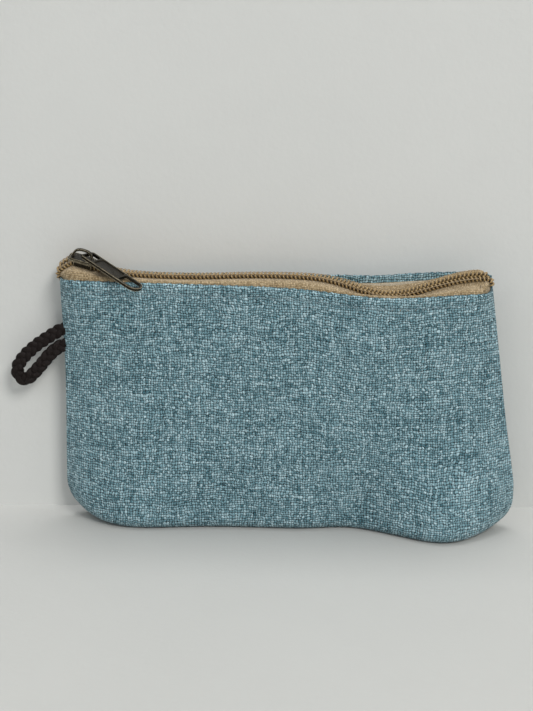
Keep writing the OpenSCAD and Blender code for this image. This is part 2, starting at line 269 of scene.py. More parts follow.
# ---------------------------------------------------------------- materials
class Tree:
    """A material's shader nodes, and a few short ways to write them."""

    def __init__(self, name):
        self.mat = bpy.data.materials.new(name)
        self.mat.use_nodes = True
        self.t = self.mat.node_tree
        self.out = self.t.nodes["Material Output"]
        self.bsdf = self.t.nodes["Principled BSDF"]

    def node(self, kind, **values):
        n = self.t.nodes.new(kind)
        for key, value in values.items():
            setattr(n, key, value)
        return n

    def put(self, socket, value):
        """Link a socket to another, or set its value."""
        if isinstance(value, bpy.types.NodeSocket):
            self.t.links.new(value, socket)
        else:
            socket.default_value = value

    def set(self, name, value):
        """Link or set one of the shader's own sockets."""
        self.put(self.bsdf.inputs[name], value)

    def math(self, op, a, b=0.0, c=0.0, clamp=False):
        n = self.node("ShaderNodeMath", operation=op, use_clamp=clamp)
        for socket, value in zip(n.inputs, (a, b, c)):
            self.put(socket, value)
        return n.outputs[0]

    def add(self, a, b):
        return self.math("ADD", a, b)

    def mul(self, a, b, clamp=False):
        return self.math("MULTIPLY", a, b, clamp=clamp)

    def vary(self, base, value, amount):
        """base, moved by a value of 0 to 1 to either side by up to half the amount."""
        return self.math("MULTIPLY_ADD", self.math("SUBTRACT", value, 0.5), amount, base)

    def vec(self, op, a, b):
        n = self.node("ShaderNodeVectorMath", operation=op)
        self.put(n.inputs[0], a)
        self.put(n.inputs[1], b)
        return n.outputs[0]

    def scaled(self, a, scale):
        n = self.node("ShaderNodeVectorMath", operation="SCALE")
        self.put(n.inputs[0], a)
        self.put(n.inputs["Scale"], scale)
        return n.outputs[0]

    def dot(self, a, b):
        n = self.node("ShaderNodeVectorMath", operation="DOT_PRODUCT")
        self.put(n.inputs[0], a)
        self.put(n.inputs[1], b)
        return n.outputs["Value"]

    def combine(self, x, y, z=0.0):
        n = self.node("ShaderNodeCombineXYZ")
        for socket, value in zip(n.inputs, (x, y, z)):
            self.put(socket, value)
        return n.outputs[0]

    def split(self, v):
        n = self.node("ShaderNodeSeparateXYZ")
        self.put(n.inputs[0], v)
        return n.outputs

    def noise(self, v, scale, detail=2.0, rough=0.5, output="Fac"):
        n = self.node("ShaderNodeTexNoise")
        self.put(n.inputs["Vector"], v)
        self.put(n.inputs["Scale"], scale)
        self.put(n.inputs["Detail"], detail)
        self.put(n.inputs["Roughness"], rough)
        return n.outputs[output]

    def ramp(self, fac, stops):
        n = self.node("ShaderNodeValToRGB")
        r = n.color_ramp
        while len(r.elements) < len(stops):
            r.elements.new(0.5)
        for element, (position, colour) in zip(r.elements, stops):
            element.position = position
            element.color = (*colour, 1)
        self.put(n.inputs[0], fac)
        return n.outputs[0]

    def range(self, v, from_min, from_max, to_min, to_max):
        n = self.node("ShaderNodeMapRange")
        for socket, value in zip(n.inputs, (v, from_min, from_max, to_min, to_max)):
            self.put(socket, value)
        return n.outputs[0]

    def mix(self, fac, a, b, blend="MIX"):
        n = self.node("ShaderNodeMix", data_type="RGBA", blend_type=blend)
        self.put(n.inputs["Factor"], fac)
        for socket, value in ((n.inputs[6], a), (n.inputs[7], b)):
            self.put(socket, (*value, 1) if isinstance(value, tuple) else value)
        return n.outputs[2]

    def bump(self, height, distance):
        n = self.node("ShaderNodeBump")
        self.put(n.inputs["Height"], height)
        self.put(n.inputs["Distance"], distance)
        return n.outputs[0]

    def place(self):
        """Object coordinates, in metres."""
        return self.node("ShaderNodeTexCoord").outputs["Object"]

    def uv(self):
        return self.node("ShaderNodeTexCoord").outputs["UV"]


WEAVE_SHEEN = 0.15
STREAK = 0.05       # how fast a yarn changes along its length, for each yarn spacing
TAPERED = 0.55      # how much of a yarn's height it loses where it dives under the next


def woven(name, dark, middle, light, pitch, wander, relief, gap=0.3, slub=1.0, speckle=0.5):
    """Plain weave on cloth coordinates, in metres. pitch is the yarns' spacing, wander how far they stray and
    relief their height. gap is the brightness of the painted shade between the yarns; slub and speckle are
    how much the yarns and their fibres differ in shade."""
    t = Tree(name)
    uv = t.uv()

    def drift(scale, amount):
        stray = t.vec("SUBTRACT", t.noise(uv, scale, 1.0, output="Color"), (0.5, 0.5, 0.5))
        return t.scaled(stray, amount)

    moved = t.vec("ADD", t.vec("ADD", uv, drift(70.0, 2.0 * wander)), drift(0.55 / pitch, wander))
    x, y, _ = t.split(t.scaled(moved, 1 / pitch))
    ix, iy = t.math("FLOOR", x), t.math("FLOOR", y)
    across_x = t.math("SINE", t.mul(t.math("FRACT", x), math.pi))
    across_y = t.math("SINE", t.mul(t.math("FRACT", y), math.pi))
    over = t.math("ROUND", t.math("PINGPONG", t.add(ix, iy), 1.0))
    under = t.math("SUBTRACT", 1.0, over)

    def on_top(upright, sideways):
        """The value of whichever yarn is on top."""
        return t.add(t.mul(upright, over), t.mul(sideways, under))

    def yarn_height(across, along, shade):
        plump = t.range(shade, 0.3, 0.7, 1.0, 2.4)
        lengthwise = t.math("MULTIPLY_ADD", along, TAPERED, 1 - TAPERED)
        return t.mul(t.math("POWER", across, t.math("DIVIDE", 1.0, plump)), lengthwise)

    # each yarn has its own thickness and shade, which change slowly along it
    up_shade = t.noise(t.combine(t.mul(ix, 7.31), t.mul(y, STREAK)), 1.0, 2.0, 0.6)
    side_shade = t.noise(t.combine(t.mul(x, STREAK), t.mul(iy, 5.17), 9.0), 1.0, 2.0, 0.6)
    yarn = on_top(up_shade, side_shade)
    height = on_top(yarn_height(across_x, across_y, up_shade), yarn_height(across_y, across_x, side_shade))
    cell = t.node("ShaderNodeTexWhiteNoise")
    t.put(cell.inputs["Vector"], t.combine(ix, iy, 3.0))
    # fibres lie along the yarn that is on top
    up_hair = t.noise(t.combine(t.mul(x, 1.9), t.mul(y, 0.6)), 1.0, 2.0, 0.65)
    side_hair = t.noise(t.combine(t.mul(x, 0.6), t.mul(y, 1.9), 5.0), 1.0, 2.0, 0.65)
    hair = on_top(up_hair, side_hair)
    patch = t.noise(uv, 55.0)

    shade = t.vary(0.5, yarn, 1.5 * slub)
    shade = t.vary(shade, cell.outputs["Value"], speckle)
    shade = t.vary(shade, hair, 2.4 * speckle)
    shade = t.vary(shade, patch, 0.45 * slub)
    colour = t.ramp(shade, [(0.05, dark), (0.5, middle), (0.95, light)])
    # painted shade and highlight: darker down the yarns' sides into the gaps, a little brighter on their
    # crowns
    weave_shade_and_highlight = t.range(t.vary(height, hair, 0.3), 0.20, 0.74, gap, 1.08)
    # the yarns crowd together in places, which closes the gaps and evens out their painted shade
    crowding = t.noise(t.vec("ADD", uv, (0.31, 0.17, 0.0)), 0.9 / pitch, 1.0)
    crowded = t.range(crowding, 0.42, 0.62, 0.0, 0.35)
    weave_shade_and_highlight = t.math("MULTIPLY_ADD", crowded, t.math("SUBTRACT", 0.80, weave_shade_and_highlight), weave_shade_and_highlight)
    t.set("Base Color", t.mix(1.0, colour, t.combine(weave_shade_and_highlight, weave_shade_and_highlight, weave_shade_and_highlight), "MULTIPLY"))
    t.set("Roughness", 0.9)
    t.set("Specular IOR Level", 0.2)
    t.set("Sheen Weight", WEAVE_SHEEN)
    t.set("Sheen Roughness", 0.5)
    t.set("Normal", t.bump(t.math("MULTIPLY_ADD", hair, 0.3, height), relief))
    return t.mat


PULL_TIP = 0.0273                   # from the pull's crossbar to the centre of its round tip
RIM_IN, RIM_OUT = 0.0030, 0.0034    # distances from the pull's middle line between which its rim begins
WEAR_AND_HIGHLIGHT_REACH = 0.0005                  # how far the bright edge reaches in from an edge: partly rubbed wear, partly painted highlight


def antique_brass(name, pull=None):
    """Dark old brass, bright on its edges: partly rubbed wear, partly a painted highlight. pull, which
    pull_directions() gives, keeps the bright edges to the pull's outline."""
    t = Tree(name)
    p = t.place()
    bevel = t.node("ShaderNodeBevel", samples=6)
    bevel.inputs["Radius"].default_value = WEAR_AND_HIGHLIGHT_REACH
    unbevelled = t.node("ShaderNodeNewGeometry").outputs["Normal"]
    edge = t.range(t.dot(bevel.outputs[0], unbevelled), 0.995, 0.90, 0.0, 1.0)
    # on the pull the bright edges, wear and painted highlight, keep to the outline; the recess's edges stay
    # dim
    if pull:
        at, across, along = pull
        offset = t.vec("SUBTRACT", p, tuple(at))
        w = t.dot(offset, tuple(across))
        past_tip = t.math("MAXIMUM", t.math("SUBTRACT", t.dot(offset, tuple(along)), PULL_TIP), 0.0)
        reach = t.math("SQRT", t.add(t.mul(w, w), t.mul(past_tip, past_tip)))
        edge = t.mul(edge, t.range(reach, RIM_IN, RIM_OUT, 0.12, 1.0))
    patchiness = t.noise(p, 260.0, 3.0, 0.6)
    # painted highlight and wear: the edges take a bright brass colour, in patches
    wear_and_highlight = t.mul(edge, t.range(patchiness, 0.35, 0.6, 0.45, 1.0), clamp=True)
    stain = t.noise(p, 900.0, 4.0, 0.6)
    base = t.ramp(stain, [(0.3, (0.012, 0.010, 0.007)), (0.75, (0.036, 0.030, 0.020))])
    t.set("Base Color", t.mix(wear_and_highlight, base, (0.66, 0.57, 0.40)))
    t.set("Metallic", 0.85)
    t.set("Specular IOR Level", 0.2)
    t.set("Roughness", t.range(t.noise(p, 2500.0, 3.0), 0.3, 0.7, 0.26, 0.42))
    t.set("Normal", t.bump(t.noise(p, 3500.0, 3.0), 0.00004))
    return t.mat


def pull_directions():
    """A point on the pull's crossbar, and its width's and its length's directions, at rest."""
    joint = next(j for j in frame["joints"] if j["name"] == "pull_flip")
    at = Vector(joint["pos_m"])
    across = Vector(joint["axis"]).normalized()
    lo, hi = (Vector(v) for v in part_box("pull_tab"))
    along = Vector((hi.x, lo.y, lo.z)) - at
    along = (along - across * along.dot(across)).normalized()
    return at, across, along


def nylon(name, dark, light):
    t = Tree(name)
    p = t.place()
    t.set("Base Color", t.mix(t.range(t.noise(p, 700.0, 3.0, 0.6), 0.3, 0.7, 0.0, 1.0), dark, light))
    t.set("Roughness", 0.30)
    t.set("Specular IOR Level", 0.5)
    t.set("Normal", t.bump(t.noise(p, 6000.0), 0.00002))
    return t.mat


PLIES_PER_M = 2600.0                # ply lines for each metre of thread


def spun(name, dark, light):
    """Sewing thread or cord: fine ply lines round it, from its own UV (u round, v along), their grooves
    darkened with painted shade.
    """
    t = Tree(name)
    u, v, _ = t.split(t.uv())
    ply = t.math("SINE", t.mul(t.add(t.mul(v, PLIES_PER_M), u), 2 * math.pi))
    fibre = t.noise(t.place(), 3000.0, 3.0, 0.6)
    # painted shade: the colour darkens in the grooves between the plies
    t.set("Base Color", t.mix(t.math("MULTIPLY_ADD", ply, 0.25, fibre, clamp=True), dark, light))
    t.set("Roughness", 0.75)
    t.set("Sheen Weight", 0.2)
    t.set("Normal", t.bump(t.math("MULTIPLY_ADD", ply, 0.5, fibre), 0.00006))
    return t.mat


def waxed_cord(name, dark, light):
    t = Tree(name)
    u, v, _ = t.split(t.uv())
    fibre = t.noise(t.combine(t.mul(u, 14.0), t.mul(v, 600.0)), 1.0, 4.0, 0.65)
    pores = t.noise(t.place(), 2600.0, 3.0, 0.6)
    shade = t.math("MULTIPLY_ADD", pores, 0.5, t.mul(fibre, 0.5))
    t.set("Base Color", t.mix(t.range(shade, 0.35, 0.65, 0.0, 1.0), dark, light))
    t.set("Roughness", t.range(pores, 0.3, 0.7, 0.5, 0.7))
    t.set("Specular IOR Level", 0.22)
    t.set("Normal", t.bump(t.math("MULTIPLY_ADD", fibre, 0.8, pores), 0.00010))
    return t.mat


# gap sets the painted shade between the yarns: black for the blue cloth
BLUE = woven("woven_cloth", (0.047, 0.138, 0.173), (0.240, 0.410, 0.468), (0.52, 0.71, 0.77),
             pitch=0.00110, wander=0.00150, relief=0.00045, gap=0.0, slub=0.6, speckle=0.55)
LINING = woven("lining_cloth", (0.36, 0.30, 0.21), (0.48, 0.41, 0.30), (0.60, 0.52, 0.40),
               pitch=0.00045, wander=0.00010, relief=0.00008, gap=0.7)
TAPE = woven("zip_tape", (0.27, 0.189, 0.095), (0.440, 0.330, 0.190), (0.60, 0.47, 0.30),
             pitch=0.00066, wander=0.00030, relief=0.00020, gap=0.40, slub=0.6, speckle=0.6)
COIL = nylon("zip_coil", (0.23, 0.150, 0.062), (0.44, 0.310, 0.145))
# painted shade: the filler cord is coloured near-black brown, far darker than a real sand-coloured filler, to
# stand for the shade between the coil's turns
SHADED_FILLER = spun("coil_filler_painted_shade", (0.045, 0.029, 0.013), (0.11, 0.074, 0.036))
SAND_THREAD = spun("sand_thread", (0.24, 0.165, 0.085), (0.48, 0.36, 0.21))
BLUE_THREAD = spun("blue_thread", (0.12, 0.22, 0.26), (0.36, 0.48, 0.52))
BRASS = antique_brass("antique_brass")
PULL_BRASS = antique_brass("antique_brass_pull", pull_directions())
CORD = waxed_cord("braided_cord", (0.003, 0.0018, 0.0016), (0.013, 0.0066, 0.0052))


def finish_piece(ob, mat, slot, body, *replaced):
    """Give a piece its material, its body and the CAD nodes that it stands for. slot is not used."""
    ob.data.materials.clear()
    ob.data.materials.append(mat)
    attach(ob, body)
    if replaced:
        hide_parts(*replaced)
    return ob


# ---------------------------------------------------------------- lines and tubes
def catmull(points, steps):
    """A smooth curve through points."""
    p = np.array(points, float)
    out = []
    for i in range(len(p) - 1):
        a, b, c, d = p[max(0, i - 1)], p[i], p[i + 1], p[min(len(p) - 1, i + 2)]
        k = np.arange(steps)[:, None] / steps
        curve = 2 * b + (c - a) * k + (2 * a - 5 * b + 4 * c - d) * k**2 + (3 * b - a - 3 * c + d) * k**3
        out.append(0.5 * curve)
    out.append(p[-1:])
    return np.concatenate(out)


def resample(p, step):
    """Points of a line at even steps, and their distance along it."""
    s = arc_length(p)
    n = max(2, int(round(s[-1] / step)) + 1)
    t = np.linspace(0, s[-1], n)
    return np.stack([np.interp(t, s, p[:, k]) for k in range(p.shape[1])], -1), t


def directions(p):
    """Unit direction of a line at each of its points."""
    d = np.gradient(p, axis=0)
    return d / np.linalg.norm(d, axis=1, keepdims=True)


def upright(p2, y):
    """A line of (x, z) points, stood up at a y."""
    return np.stack([p2[:, 0], np.full(len(p2), y), p2[:, 1]], -1)


def square_to(d):
    """The direction at right angles to d in the XZ plane."""
    return np.stack([-d[:, 2], np.zeros(len(d)), d[:, 0]], -1)


def sweep(points, radius, sides=8, flat=(1.0, 1.0), side_dir=None, ridges=0.0):
    """Vertices, faces and UVs of a tube along points, in mm. radius is one number or one per point. flat
    gives factors for its width and thickness, the width lying along side_dir. ridges is the depth of grooves
    along it."""
    p = np.asarray(points, float)
    m = len(p)
    d = directions(p)
    if side_dir is None:
        # carried along the line without twisting
        n = np.zeros_like(p)
        ref = np.array([0.0, 0.0, 1.0]) if abs(d[0, 2]) < 0.9 else np.array([0.0, 1.0, 0.0])
        n[0] = np.cross(d[0], ref)
        n[0] /= np.linalg.norm(n[0])
        for k in range(1, m):
            v = n[k - 1] - d[k] * (n[k - 1] @ d[k])
            n[k] = v / np.linalg.norm(v)
    else:
        n = np.broadcast_to(side_dir, p.shape)
        n = n - d * (n * d).sum(1, keepdims=True)
        n = n / np.linalg.norm(n, axis=1, keepdims=True)
    b = np.cross(d, n)
    r = np.broadcast_to(radius, (m,))[:, None, None]
    a = np.arange(sides) * 2 * np.pi / sides
    groove = 1 - ridges * (1 - np.cos(3 * np.pi * np.cos(a)))
    wide = flat[0] * np.cos(a)[None, :, None] * n[:, None]
    thick = flat[1] * (np.sin(a) * groove)[None, :, None] * b[:, None]
    verts = p[:, None] + r * (wide + thick)
    i, j = np.meshgrid(np.arange(m - 1), np.arange(sides), indexing="ij")
    here = i.ravel() * sides
    j = j.ravel()
    k = (j + 1) % sides
    faces = np.stack([here + j, here + k, here + sides + k, here + sides + j], -1).tolist()
    uv = np.stack(np.broadcast_arrays(a[None] / (2 * np.pi), arc_length(p)[:, None] * MM), -1).reshape(-1, 2)
    faces.append(list(range(sides - 1, -1, -1)))
    faces.append(list(range((m - 1) * sides, m * sides)))
    return verts.reshape(-1, 3), faces, uv


def tubes(name, parts):
    """One object from several swept tubes."""
    verts, faces, uvs, off = [], [], [], 0
    for v, f, uv in parts:
        verts.append(v)
        faces += [[i + off for i in q] for q in f]
        uvs.append(uv)
        off += len(v)
    ob = link(name, np.concatenate(verts) * MM, faces)
    set_uv(ob, np.concatenate(uvs))
    return ob


# ---------------------------------------------------------------- hanging loop (the only cord)
ROUTE = [(-92.6, 84.2), (-96.5, 82.8), (-100.7, 80.3), (-106.8, 76.1), (-112.2, 71.2), (-115.3, 66.4),
         (-115.1, 62.6), (-112.4, 60.9), (-109.2, 63), (-105, 67.6), (-101.2, 72.1), (-97, 75.6),
         (-92.6, 77.2)]
BRAID_PERIOD = 10.5                     # length in which a strand goes over and back
STRANDS = 3
STRAND_SWING, STRAND_LIFT = 1.52, 0.46  # how far a strand goes sideways, and over and under
STRAND_HALF = (1.42, 0.84)              # half of a strand's width and thickness
STRAND_RIDGES = 0.11                    # depth of the grooves along a strand

loop_xz, loop_s = resample(catmull(ROUTE, 24), 0.22)
loop_line = upright(loop_xz, SEAM_Y)
loop_across = square_to(directions(loop_line))
strands = []
for k in range(STRANDS):
    turn = 2 * np.pi * (loop_s / BRAID_PERIOD + k / STRANDS)
    swing = STRAND_SWING * np.sin(turn)
    lift = STRAND_LIFT * np.sin(2 * turn)
    strand = loop_line + swing[:, None] * loop_across + np.array([0, -1, 0]) * lift[:, None]
    strands.append(sweep(strand, 1.0, 30, flat=STRAND_HALF, side_dir=loop_across, ridges=STRAND_RIDGES))
loop = tubes("hanging_loop_braid", strands)
finish_piece(loop, CORD, "braided_cord", "pouch", "hanging_loop")


# ---------------------------------------------------------------- panels and linings
THICKNESS_UV = 0.0011                   # carries the weave across the cloth's cut edges
PANEL_T, LINING_T = 0.9, 0.6            # thicknesses
LINING_IN, LINING_LOW = 2.05, 3.2       # from the panel's outer face, and from the mouth's edge
LINING_FULLNESS = 2.2
EDGE_ROLL = 0.75                        # height over which the folded mouth edge rolls in
FRAYED = 1.2                            # how far down the fold its unevenness reaches
TOP_STITCH = 4.6                        # from the mouth's edge down to the topstitching
STITCH, STITCH_GAP = 2.6, 0.5           # lengths of a stitch and of the gap after it
STITCH_START = 2                        # from the mouth's end to the first stitch


def closed_shell(name, outer, inner, flip):
    """A closed sheet of cloth between two equal grids of points."""
    m, n = outer.shape[:2]
    off = m * n
    verts = np.concatenate([outer.reshape(-1, 3), inner.reshape(-1, 3)]) * MM
    faces = grid_faces(m, n, 0, flip) + grid_faces(m, n, off, not flip)
    idx = np.arange(m * n).reshape(m, n)
    for rim, turned in ((idx[:, 0], False), (idx[:, -1], True), (idx[0], True), (idx[-1], False)):
        q = np.stack([rim[:-1], rim[:-1] + off, rim[1:] + off, rim[1:]], -1)
        faces += (q[:, ::-1] if turned != flip else q).tolist()
    ob = link(name, verts, faces)
    uv = panel_uv(outer).reshape(-1, 2)
    set_uv(ob, np.concatenate([uv, uv + THICKNESS_UV]))
    return ob


def columns(n):
    """Places across a panel, crowded towards the side seams."""
    k = np.linspace(-1, 1, n)
    return mix(k, np.sin(np.pi / 2 * k), 0.75)


def rows(in_base, in_side):
    """Places up a panel: some to its lower edge, then more up to the mouth."""
    a = np.linspace(0, BASE_ROWS, in_base, endpoint=False)
    z = np.linspace(0, 1, in_side)
    b = BASE_ROWS + SIDE_ROWS * (mix(z, z**1.6, 0.5)) ** (1 / ROW_POWER)
    return np.concatenate([a, b])


def outer_panel(name, side):
    """The panel, and the grid of points of its outer face."""
    u, r = np.meshgrid(columns(281), rows(14, 190), indexing="ij")
    out = panel_points(side, u, r)
    inn = panel_points(side, u, r, PANEL_T)
    x = out[..., 0]
    below = panel_h(side, x) - out[..., 2]
    # the folded edge rolls inwards
    k = np.clip(1 - below / EDGE_ROLL, 0, 1)
    rolled = EDGE_ROLL * (1 - np.sqrt(np.maximum(0, 1 - k**2)))
    # the stitch line pulls the cloth in, more at each stitch, and it stands out above the line
    first = x_left(FRONT_H) + STITCH_START + STITCH / 2
    pucker = 1 + 0.35 * np.cos(2 * np.pi * (x - first) / (STITCH + STITCH_GAP))
    sewn = -0.34 * bump(below - TOP_STITCH, 0.75) * pucker
    sewn = sewn + 0.30 * bump(below - 2.2, 1.7) - 0.10 * bump(below - 7.0, 1.6)
    fray = 0.16 * np.sin(x * 2.1 + 1.3 * np.sin(x * 0.63))
    fray = fray + 0.12 * np.sin(x * 4.7 + 2.0 * np.sin(x * 0.31) + 1.0)
    fray = fray * np.clip(1 - below / FRAYED, 0, 1)
    out[..., 2] += fray
    inn[..., 2] += fray
    near_end = smooth(np.minimum(x - x_left(out[..., 2]), x_right(out[..., 2]) - x) / 5)
    out[..., 1] += side * rolled * 0.62 - side * sewn * near_end
    inn[..., 1] -= side * rolled * 0.3
    return closed_shell(name, out, inn, side < 0), out


def lining_panel(name, side):
    u, r = np.meshgrid(columns(121), rows(8, 80), indexing="ij")
    out = panel_points(side, u, r, LINING_IN, LINING_LOW, LINING_FULLNESS)
    inn = panel_points(side, u, r, LINING_IN + LINING_T, LINING_LOW, LINING_FULLNESS)
    return closed_shell(name, out, inn, side < 0)


outer_face = {}
for side, where in SIDES:
    panel, outer_face[side] = outer_panel(f"{where}_panel_cloth", side)
    finish_piece(panel, BLUE, "woven_cloth", "pouch", f"outer_{where}")

for side, where in SIDES:
    lining = lining_panel(f"{where}_lining_cloth", side)
    finish_piece(lining, LINING, "lining_cloth", "pouch", f"lining_{where}")


# ---------------------------------------------------------------- the chain's path
PITCH = 1.65                            # of the coils
LEFT_X, RIGHT_X = -89.6, 79.2           # where the chain's two curls begin
LEFT_CURL = [(-94.2, 104.9), (-95.5, 106.1), (-96.0, 107.8), (-95.3, 109.6), (-93.6, 111.1), (-91.6, 112.3)]
RIGHT_CURL = [(81.8, 109.1), (83.3, 108.2), (84.1, 106.8), (84.0, 105.2)]
ACROSS = np.array([[0.0, 1.0, 0.0]])
LEVELLED, LEVEL_FROM, LEVEL_OVER = 0.85, 7.5, 5     # in the right curl: by how much, and over which stretch
POST_HALF_W, POST_X = 2.1, -88.9        # the slider's post, which parts the rows to its left


def chain_mid(x):
    """Height of the chain: up at the slider, and sagging at the right."""
    return (107 + 9.2 * rise(-x - 84, 8) + 1.1 * rise(x + 25, 6)
            - 7.3 * bump(x - 42.5, 19.5) + 1.6 * rise(x - 70, 4))


def chain_roll(x):
    """How far the chain is rolled to the front, in radians: further than the CAD's plain bars, so that both
    rows show."""
    return np.radians(-2 + 13 * rise(-x - 72, 5) + 22 * bump(x - 42, 24) + 38 * rise(x - 64, 6))


main_x = np.linspace(LEFT_X, RIGHT_X, 700)
main = np.stack([main_x, chain_mid(main_x)], -1)
left_curl = catmull(LEFT_CURL + [tuple(main[0])], 12)
right_curl = catmull([tuple(main[-1])] + RIGHT_CURL, 12)
chain_xz, chain_s = resample(np.concatenate([left_curl[:-1], main, right_curl[1:]]), 0.1)
LENGTH = chain_s[-1]
chain = upright(chain_xz, SEAM_Y)
chain_up = square_to(directions(chain))
# in the curl at the right the rows lie level again
level = LEVELLED * smooth((chain_s - LENGTH + LEVEL_FROM) / LEVEL_OVER)
roll = (chain_roll(chain[:, 0]) * (1 - level))[:, None]
chain_side = np.cos(roll) * ACROSS + np.sin(roll) * chain_up
chain_out = -np.sin(roll) * ACROSS + np.cos(roll) * chain_up


def at_chain(values, s):
    """Points or directions of the chain at distance s along it."""
    return np.stack([np.interp(s, chain_s, values[:, k]) for k in range(3)], -1)


def on_chain(s, t, n):
    """Points at distance s along the chain, t across it and n above it."""
    t, n = np.broadcast_to(t, s.shape)[..., None], np.broadcast_to(n, s.shape)[..., None]
    return at_chain(chain, s) + t * at_chain(chain_side, s) + n * at_chain(chain_out, s)


def parting(s):
    """How far the slider's post pushes a row out from the chain's middle, at the closed end."""
    x = np.interp(s, chain_s, chain[:, 0])
    return POST_HALF_W * rise(POST_X - x, 0.7) * smooth(s / 7)


# ---------------------------------------------------------------- coil rows, their fillers and their sewing
# MID is the distance of a row's, filler's or sewing line's middle from the chain's middle
COIL_MID, COIL_HALF_W, COIL_HALF_H = 1.45, 1.05, 0.72
WIRE_R, WIRE_SQUEEZED = 0.40, 0.04      # the monofilament, and how much thicker it is at its heads
STEPS_PER_TURN = 14
FILLER_MID, FILLER_R, FILLER_FLAT = 1.35, 0.46, (1.6, 0.8)
FILLER_STEP, FILLER_END = 0.8, 0.3
SEWING_MID, SEWING_UP, SEWING_R = 2.45, 0.97, 0.16
SEWING_SWAY, SEWING_DIP = 0.10, 0.13
SEWING_STEPS = 8                        # for each coil
SEWING_FROM, SEWING_TO = 6.0, 8.0       # from the chain's two ends


def coil_row(y_sign):
    """One spiral of monofilament. The two rows are half a pitch apart, so that their heads mesh."""
    turn = np.arange(int(LENGTH / PITCH * STEPS_PER_TURN)) * 2 * np.pi / STEPS_PER_TURN
    s = turn / (2 * np.pi) * PITCH + (PITCH / 2 if y_sign > 0 else 0)
    keep = s < LENGTH - 0.2
    turn, s = turn[keep], s[keep]
    across = y_sign * (COIL_MID + parting(s) - COIL_HALF_W * np.cos(turn))
    wire = WIRE_R + WIRE_SQUEEZED * np.cos(turn)
    return sweep(on_chain(s, across, COIL_HALF_H * np.sin(turn)), wire)


def filler_cord(y_sign):
    """The cord that the spiral is wound on."""
    s = np.arange(FILLER_END, LENGTH - FILLER_END, FILLER_STEP)
    middle = on_chain(s, y_sign * (FILLER_MID + parting(s)), 0.0)
    return sweep(middle, FILLER_R, flat=FILLER_FLAT, side_dir=ACROSS[0])


def sewing_line(y_sign):
    """The thread along the top of a row, which dips between the coils."""
    s = np.arange(SEWING_FROM, LENGTH - SEWING_TO, PITCH / SEWING_STEPS)
    phase = 0.6 if y_sign < 0 else 1.1
    wave = np.cos(2 * np.pi * (s / PITCH + phase))
    across = y_sign * (SEWING_MID + parting(s) + SEWING_SWAY * wave)
    return sweep(on_chain(s, across, SEWING_UP + SEWING_DIP * wave), SEWING_R, 6)


for side, where in SIDES:
    coil = tubes(f"coil_row_{where}", [coil_row(-side)])
    finish_piece(coil, COIL, "zip_coil", "pouch", f"zip_coil_{where}")
    # painted shade: the dark filler stands for the shade between the coil's turns
    filler = tubes(f"coil_filler_painted_shade_{where}", [filler_cord(-side)])
    finish_piece(filler, SHADED_FILLER, "sand_thread", "pouch")
    sewing = tubes(f"coil_sewing_{where}", [sewing_line(-side)])
    finish_piece(sewing, SAND_THREAD, "sand_thread", "pouch", f"coil_thread_{where}")


# ---------------------------------------------------------------- tapes
TAPE_T = 0.5                            # thickness
TAPE_FROM, TAPE_BEND = 0.95, 3.5        # from the chain's middle to the tape's edge, and to its bend
TAPE_UNDER = 1.15                       # below the coils' middle
TAPE_IN = 1.15                          # behind the panel's outer face
TAPE_END = 0.3                          # from the chain's two ends


def hermite(p0, m0, p1, m1, k):
    """Curves from p0 to p1 that leave along m0 and arrive along m1."""
    k = k[None, :, None]
    p0, m0, p1, m1 = (v[:, None] for v in (p0, m0, p1, m1))
    return ((2 * k**3 - 3 * k**2 + 1) * p0 + (k**3 - 2 * k**2 + k) * m0
            + (-2 * k**3 + 3 * k**2) * p1 + (k**3 - k**2) * m1)


def straight(a, b, k):
    """Straight lines from a to b."""
    return a[:, None] + (b - a)[:, None] * k[None, :, None]


def tape(name, side):
    """It runs from under the coil, over a soft bend, and down behind the panel's edge."""
    y_sign = -side
    s = np.linspace(TAPE_END, LENGTH - TAPE_END, 460)
    inner = on_chain(s, y_sign * (TAPE_FROM + parting(s)), -(TAPE_UNDER - 0.03))
    bend = on_chain(s, y_sign * (TAPE_BEND + 0.7 * parting(s)), -TAPE_UNDER)
    # where this station meets the panel's edge; the tape's ends run into the mouth's corners
    u = 2 * (bend[:, 0] - x_left(FRONT_H)) / (x_right(FRONT_H) - x_left(FRONT_H)) - 1
    u = u + (1 - u) * smooth((s - LENGTH + 5) / 4) - (1 + u) * smooth((5 - s) / 4)
    u = np.clip(u, -0.9995, 0.9995)
    row = np.full_like(u, ROWS if side > 0 else ROWS - 0.4)
    edge = panel_points(side, u, row, TAPE_IN)
    low = panel_points(side, u, row - 1.0, TAPE_IN + 0.2)
    # the bend is as full as the gap that it crosses is wide
    wide = (np.abs(edge[:, 1] - bend[:, 1]) + np.abs(edge[:, 2] - bend[:, 2]))[:, None]
    leave = y_sign * at_chain(chain_side, s) * (1.15 * wide)
    arrive = np.array([[0, 0, -1.0]]) * wide + y_sign * 0.1 * ACROSS
    grid = np.concatenate([straight(inner, bend, np.linspace(0, 1, 5)[:-1]),
                           hermite(bend, leave, edge, arrive, np.linspace(0, 1, 14)),
                           straight(edge, low, np.linspace(0, 1, 7)[1:])], 1)
    ob = link(name, grid * MM, grid_faces(*grid.shape[:2], flip=side > 0))
    set_uv(ob, tape_uv(grid).reshape(-1, 2))
    thickness = ob.modifiers.new("thickness", "SOLIDIFY")
    thickness.thickness = TAPE_T * MM
    thickness.offset = 0.0
    return ob


for side, where in SIDES:
    strip = tape(f"{where}_tape_woven", side)
    finish_piece(strip, TAPE, "zip_tape", "pouch", f"zip_tape_{where}")


# ---------------------------------------------------------------- topstitching
THREAD_R = 0.19                         # the topstitching thread's radius
THREAD_PROUD, THREAD_DIVE = 0.16, 0.42  # how far a stitch stands off the cloth, and goes in at its ends


